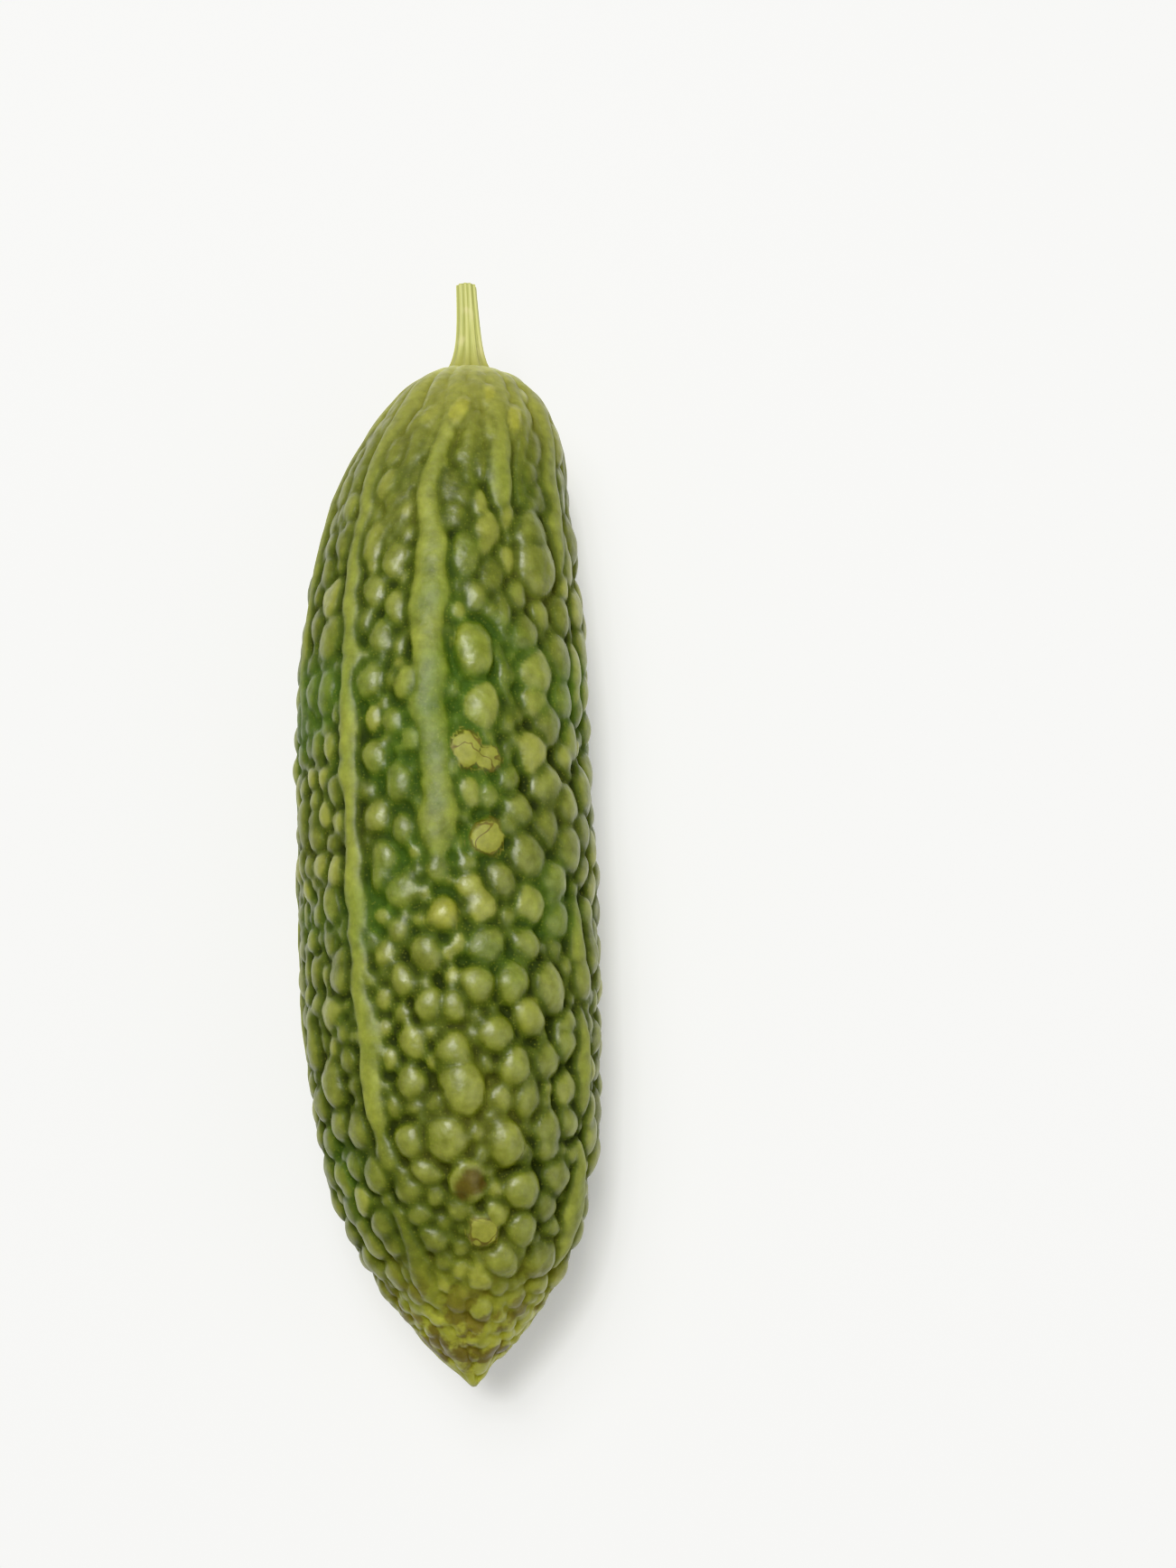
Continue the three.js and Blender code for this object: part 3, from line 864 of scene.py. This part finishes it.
def skin_material(colours):
    """Fresh cucurbit skin, as it grew: a thin natural wax on a moist, slightly translucent rind."""
    # The wax gives a soft, bright highlight on every wart, while the creases, the broad ridges and the worn
    # scars stay dull. Light that enters the rind softens its shadows a little and makes them green.
    material = bpy.data.materials.new("waxy_gourd_skin")
    material.use_nodes = True
    tree = material.node_tree
    skin = tree.nodes["Principled BSDF"]
    place = add(tree, "ShaderNodeTexCoord", output="Object")
    marks = {name: add(tree, "ShaderNodeAttribute", output="Fac", attribute_name=name) for name in SKIN_MARKS}
    ridge = add(tree, RANGE, marks["relief"], -0.2, 0.5, **SMOOTH)
    ridge = add(tree, MATH, ridge, marks["smooth"], operation="MULTIPLY")
    ragged = add(tree, NOISE, place, 1 / (3 * MM), 3.0)
    marks["core"] = add(tree, MATH, ragged, 0.8, marks["core"], operation="MULTIPLY_ADD")
    scar = add(tree, RANGE, marks["core"], 1.14, 1.02, **SMOOTH)
    scar = add(tree, MATH, scar, marks["scarred"], operation="MULTIPLY")
    tree.links.new(skin_colour(tree, colours, place, marks, ridge, scar), skin.inputs["Base Color"])

    rough = add(tree, RANGE, ragged, 0.3, 0.7, 0.33, 0.47)
    crease = add(tree, RANGE, marks["relief"], 0.15, -0.35, **SMOOTH)
    for shows, roughness in ((crease, 0.85), (scar, 0.62), (ridge, 0.72)):
        rough = add(tree, MIX, shows, rough, roughness)
    tree.links.new(rough, skin.inputs["Roughness"])

    bump = None
    for size, detail, strength, depth in ((0.7 * MM, 3.0, 0.4, 0.12 * MM), (2.4 * MM, 1.0, 0.7, 0.35 * MM)):
        pores = add(tree, NOISE, place, 1 / size, detail)
        bump = add(tree, "ShaderNodeBump", strength, depth, named={"Height": pores, "Normal": bump})
    tree.links.new(bump, skin.inputs["Normal"])
    skin.inputs["IOR"].default_value = 1.45
    skin.inputs["Subsurface Weight"].default_value = 0.12
    skin.inputs["Subsurface Radius"].default_value = (0.6, 1.0, 0.25)
    skin.inputs["Subsurface Scale"].default_value = 1.2 * MM
    return material


def evaluated_mesh(scaffold, name):
    """What the modifiers on a scaffold object make, as a plain new object, with the scaffold removed."""
    depsgraph = bpy.context.evaluated_depsgraph_get()
    grown = scaffold.evaluated_get(depsgraph)
    mesh = bpy.data.meshes.new_from_object(grown, preserve_all_data_layers=True, depsgraph=depsgraph)
    scaffold.modifiers.clear()
    bpy.data.objects.remove(scaffold)
    piece = bpy.data.objects.new(name, mesh)
    bpy.context.scene.collection.objects.link(piece)
    return piece


class GrowFruit(bpy.types.Operator):
    """Grow the fruit's skin with its ridges and warts"""

    bl_idname = "gourd.grow_fruit"
    bl_label = "Grow Fruit"

    def execute(self, context):
        sizes = context.scene.gourd_sizes
        scaffold = bpy.data.objects.new("skin_guides", guide_mesh())
        context.scene.collection.objects.link(scaffold)
        modifier = scaffold.modifiers.new("Warty Skin", "NODES")
        tree = skin_tree()
        modifier.node_group = tree
        sockets = {item.name: item.identifier for item in tree.interface.items_tree}
        values = {name: getattr(sizes, prop) for name, _, prop in SKIN_INPUTS}
        skin = skin_material(context.scene.gourd_colours)
        for name, value in {**values, **FINENESS, "Stem End": STEM_END, "Skin": skin}.items():
            modifier[sockets[name]] = value
        fruit = evaluated_mesh(scaffold, "warty_fruit")
        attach(fruit, "root")
        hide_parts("fruit")
        return {"FINISHED"}


# ---------------------------------------------------------------- the stem

STEM_POINTS = 160
STEM_RINGS = 90
CUT_RINGS = 8
STEM_TAPER = 1.1 * MM  # how much thicker the stem is at its foot than at its cut
STEM_ROOT = 4.0 * MM  # how deep in the shoulder the stem's mesh starts
BARE_SHARE = 0.93  # the stem's radius between its ribs, as a share of its radius
RIB_ANGLE = math.radians(15)  # half the width of a rib
RIB_HEIGHT = 0.32 * MM  # at the cut
RIB_FLARE = 1.1 * MM  # how much higher the ribs are at the foot
FIBRE_HEIGHT = 0.16 * MM
FIBRE_LENGTH = 14 * MM
CUT_HOLLOW = 0.35 * MM
COLLAR_LENGTH = 7 * MM  # how far up from the fruit the stem takes the shoulder's colour


def stem_ring(mesh, layers, centre, radius, rib, fibre, dip=0.0, is_cut=0.0):
    """One ring of the stem, whose ribs stand in line with the fruit's ridges."""
    ridge_angles = [math.radians(ridge["angles"][0]) for ridge in RIDGES]
    ring = []
    for i in range(STEM_POINTS):
        angle = 2 * math.pi * i / STEM_POINTS
        peak = max(math.cos(angle - ridge_angle) for ridge_angle in ridge_angles)
        nearness = max(0.0, 1 - math.acos(min(1.0, peak)) / RIB_ANGLE)
        crest = nearness * nearness * (3 - 2 * nearness)
        strand = noise.noise(Vector((9 * math.sin(angle), 9 * math.cos(angle), centre.y / FIBRE_LENGTH)))
        reach = radius + rib * crest + fibre * strand
        place = (centre.x + reach * math.sin(angle), centre.y + dip, centre.z + reach * math.cos(angle))
        vertex = mesh.verts.new(place)
        vertex[layers["cut"]] = is_cut
        vertex[layers["groove"]] = crest
        vertex[layers["foot"]] = max(0.0, min(0.8, 1 - (centre.y - STEM_END.y) / COLLAR_LENGTH))
        ring.append(vertex)
    return ring


def stem_mesh(sizes):
    """A ribbed stalk that flares into the shoulder, with a rough, slightly hollow cut."""
    root = STEM_END + Vector((0, -STEM_ROOT, 0))
    rise = CUT_END.y - root.y
    mesh = bmesh.new()
    for name in ("cut", "groove", "foot"):
        mesh.verts.layers.float.new(name)
    layers = {name: mesh.verts.layers.float[name] for name in ("cut", "groove", "foot")}
    rings = []
    for i in range(STEM_RINGS):
        share = i / (STEM_RINGS - 1)
        along = share**1.4
        flare = math.exp(-along * rise / sizes.stem_flare)
        centre = root.lerp(Vector((STEM_END.x, CUT_END.y, STEM_END.z)), along)
        lean = (CUT_END - STEM_END) * along * along
        centre += Vector((lean.x, 0, lean.z))
        radius = sizes.stem_radius * BARE_SHARE + STEM_TAPER * (1 - share)
        radius += (sizes.stem_foot_radius - sizes.stem_radius) * flare
        rings.append(stem_ring(mesh, layers, centre, radius, RIB_HEIGHT + RIB_FLARE * flare, FIBRE_HEIGHT))
    for i in range(1, CUT_RINGS):
        inward = 1 - i / CUT_RINGS
        dip = -CUT_HOLLOW * (1 - inward**2) + 0.06 * MM * math.sin(9 * i)
        radius = sizes.stem_radius * BARE_SHARE * inward
        ring = stem_ring(mesh, layers, centre, radius, RIB_HEIGHT * inward, FIBRE_HEIGHT * inward, dip, 1.0)
        rings.append(ring)

    for low, high in zip(rings, rings[1:]):
        for i in range(STEM_POINTS):
            j = (i + 1) % STEM_POINTS
            mesh.faces.new((low[i], low[j], high[j], high[i]))
    ends = ((rings[0], root, 0.0), (rings[-1], centre + Vector((0, -0.4 * MM, 0)), 1.0))
    for ring, place, is_cut in ends:
        middle = mesh.verts.new(place)
        middle[layers["cut"]] = is_cut
        for i in range(STEM_POINTS):
            mesh.faces.new((ring[i], ring[(i + 1) % STEM_POINTS], middle))
    bmesh.ops.recalc_face_normals(mesh, faces=mesh.faces[:])
    for face in mesh.faces:
        face.smooth = True
    data = bpy.data.meshes.new("ribbed_stem")
    mesh.to_mesh(data)
    mesh.free()
    return data


def stalk_material(colours):
    """A cut green stalk, as it grew, that has begun to dry."""
    # It is matt and stringy, paler on its ribs than in its grooves, with lengthwise fibres about 0.4 mm wide,
    # dry blotches and a dry end.
    material = bpy.data.materials.new("drying_stalk")
    material.use_nodes = True
    tree = material.node_tree
    stalk = tree.nodes["Principled BSDF"]
    place = add(tree, "ShaderNodeTexCoord", output="Object")
    names = ("groove", "foot", "cut")
    marks = [add(tree, "ShaderNodeAttribute", output="Fac", attribute_name=name) for name in names]
    groove, foot, cut = marks
    strands = add(tree, "ShaderNodeMapping", place, named={"Scale": (1.0, 0.08, 1.0)})
    fibres = add(tree, NOISE, strands, 1 / (0.8 * MM), 3.0)
    rib = add(tree, MATH, groove, fibres, operation="ADD")
    rib = add(tree, RANGE, rib, 0.35, 1.1, **SMOOTH)
    colour = add(tree, MIX, rib, colours.stalk_groove[:], colours.stalk[:], **COLOUR)
    blotches = add(tree, NOISE, place, 1 / (5 * MM), 2.0)
    blotches = add(tree, RANGE, blotches, 0.5, 0.72, 0.0, 0.5, **SMOOTH)
    layers = ((blotches, colours.stalk_cut), (foot, colours.yellowing), (cut, colours.stalk_cut))
    for shows, tint in layers:
        colour = add(tree, MIX, shows, colour, tint[:], **COLOUR)
    tree.links.new(colour, stalk.inputs["Base Color"])
    tree.links.new(add(tree, RANGE, fibres, 0.3, 0.7, 0.45, 0.65), stalk.inputs["Roughness"])
    bump = add(tree, "ShaderNodeBump", 0.5, 0.2 * MM, named={"Height": fibres})
    tree.links.new(bump, stalk.inputs["Normal"])
    return material


class GrowStem(bpy.types.Operator):
    """Grow the ribbed stem that the gourd was cut with"""

    bl_idname = "gourd.grow_stem"
    bl_label = "Grow Stem"

    def execute(self, context):
        stem = bpy.data.objects.new("ribbed_stem", stem_mesh(context.scene.gourd_sizes))
        context.scene.collection.objects.link(stem)
        stem.data.materials.append(stalk_material(context.scene.gourd_colours))
        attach(stem, "root")
        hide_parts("stem")
        return {"FINISHED"}


# ---------------------------------------------------------------- the stage

FLOOR_HALF = 2.0
KEY_OFFSET = Vector((-0.12, 0.22, 0.8))  # from the gourd's middle to the softbox
KEY_SIZE = 0.42
FILL_OFFSET = Vector((0.7, -0.3, 0.6))
FILL_SIZE = 0.8
AIM_OFFSET = Vector((32 * MM, 6.1 * MM, 0))  # from the gourd's middle to the middle of the view
LENS = 50


class GourdStage(bpy.types.PropertyGroup):
    """The floor, the lights and the camera."""

    floor_colour: colour_property("Floor", "The pale floor", "#f4f4f2")
    camera_distance: length_property("Camera Distance", "From the lens to the fruit", 0.49)
    camera_elevation: bpy.props.FloatProperty(
        name="Camera Elevation",
        description="Angle above the floor",
        default=math.radians(80),
        subtype="ANGLE",
    )
    camera_roll: bpy.props.FloatProperty(
        name="Camera Roll",
        description="Clockwise turn about the line of sight",
        default=math.radians(0.8),
        subtype="ANGLE",
    )
    key_power: bpy.props.FloatProperty(
        name="Key Light", description="Power of the softbox", default=9.0, unit="POWER"
    )
    fill_power: bpy.props.FloatProperty(
        name="Fill Light", description="Power of the fill", default=3.0, unit="POWER"
    )
    sky: bpy.props.FloatProperty(name="Room Light", description="Strength of the even light", default=0.5)


def lay_floor(colour):
    """A flat sheet of pale matt paper, which shows soft shadows and no clear reflection."""
    mesh = bpy.data.meshes.new("floor")
    half = FLOOR_HALF
    corners = [(-half, -half, 0), (half, -half, 0), (half, half, 0), (-half, half, 0)]
    mesh.from_pydata(corners, [], [(0, 1, 2, 3)])
    floor = bpy.data.objects.new("floor", mesh)
    bpy.context.scene.collection.objects.link(floor)
    paper = bpy.data.materials.new("pale_paper")
    paper.use_nodes = True
    sheet = paper.node_tree.nodes["Principled BSDF"]
    sheet.inputs["Base Color"].default_value = colour
    sheet.inputs["Roughness"].default_value = 0.9
    mesh.materials.append(paper)


def area_light(name, place, target, side, power):
    light = bpy.data.lights.new(name, "AREA")
    light.shape = "SQUARE"
    light.size = side
    light.energy = power
    lamp = bpy.data.objects.new(name, light)
    lamp.location = place
    lamp.rotation_euler = (target - place).to_track_quat("-Z", "Y").to_euler()
    bpy.context.scene.collection.objects.link(lamp)


class SetStage(bpy.types.Operator):
    """Lay the floor and set the lights and the camera"""

    bl_idname = "gourd.set_stage"
    bl_label = "Set Stage"

    def execute(self, context):
        stage = context.scene.gourd_stage
        low, high = (Vector(corner) for corner in CAD_BOX)
        middle = (low + high) / 2
        lay_floor(stage.floor_colour[:])
        area_light("key", middle + KEY_OFFSET, middle, KEY_SIZE, stage.key_power)
        area_light("fill", middle + FILL_OFFSET, middle, FILL_SIZE, stage.fill_power)
        world = bpy.data.worlds.new("room")
        world.use_nodes = True
        world.node_tree.nodes["Background"].inputs["Color"].default_value = (1.0, 1.0, 1.0, 1.0)
        world.node_tree.nodes["Background"].inputs["Strength"].default_value = stage.sky
        context.scene.world = world
        context.scene.view_settings.view_transform = "Khronos PBR Neutral"

        camera = bpy.data.objects.new("camera", bpy.data.cameras.new("camera"))
        camera.data.lens = LENS
        tilt = stage.camera_elevation
        sight = Vector((0, -math.cos(tilt), math.sin(tilt)))
        camera.location = middle + AIM_OFFSET + sight * stage.camera_distance
        roll = Quaternion(sight, -stage.camera_roll)
        camera.rotation_euler = (roll @ sight.to_track_quat("Z", "Y")).to_euler()
        context.scene.collection.objects.link(camera)
        context.scene.camera = camera
        return {"FINISHED"}


class GourdPanel(bpy.types.Panel):
    """Grows the gourd piece by piece."""

    bl_idname = "VIEW3D_PT_gourd"
    bl_label = "Bitter Gourd"
    bl_space_type = "VIEW_3D"
    bl_region_type = "UI"
    bl_category = "Gourd"

    def draw(self, context):
        for operator in OPERATORS:
            self.layout.operator(operator.bl_idname)
        for group in GROUPS:
            settings = getattr(context.scene, group)
            box = self.layout.box()
            for prop in settings.__annotations__:
                box.prop(settings, prop)


GROUPS = {"gourd_sizes": GourdSizes, "gourd_colours": GourdColours, "gourd_stage": GourdStage}
OPERATORS = (GrowFruit, GrowStem, SetStage)


def register():
    for cls in (*GROUPS.values(), *OPERATORS, GourdPanel):
        bpy.utils.register_class(cls)
    for name, cls in GROUPS.items():
        setattr(bpy.types.Scene, name, bpy.props.PointerProperty(type=cls))


def unregister():
    for name in GROUPS:
        delattr(bpy.types.Scene, name)
    for cls in (GourdPanel, *reversed(OPERATORS), *reversed(GROUPS.values())):
        bpy.utils.unregister_class(cls)


def main():
    register()
    bpy.ops.gourd.grow_fruit()
    bpy.ops.gourd.grow_stem()
    bpy.ops.gourd.set_stage()


if __name__ == "__main__":
    main()
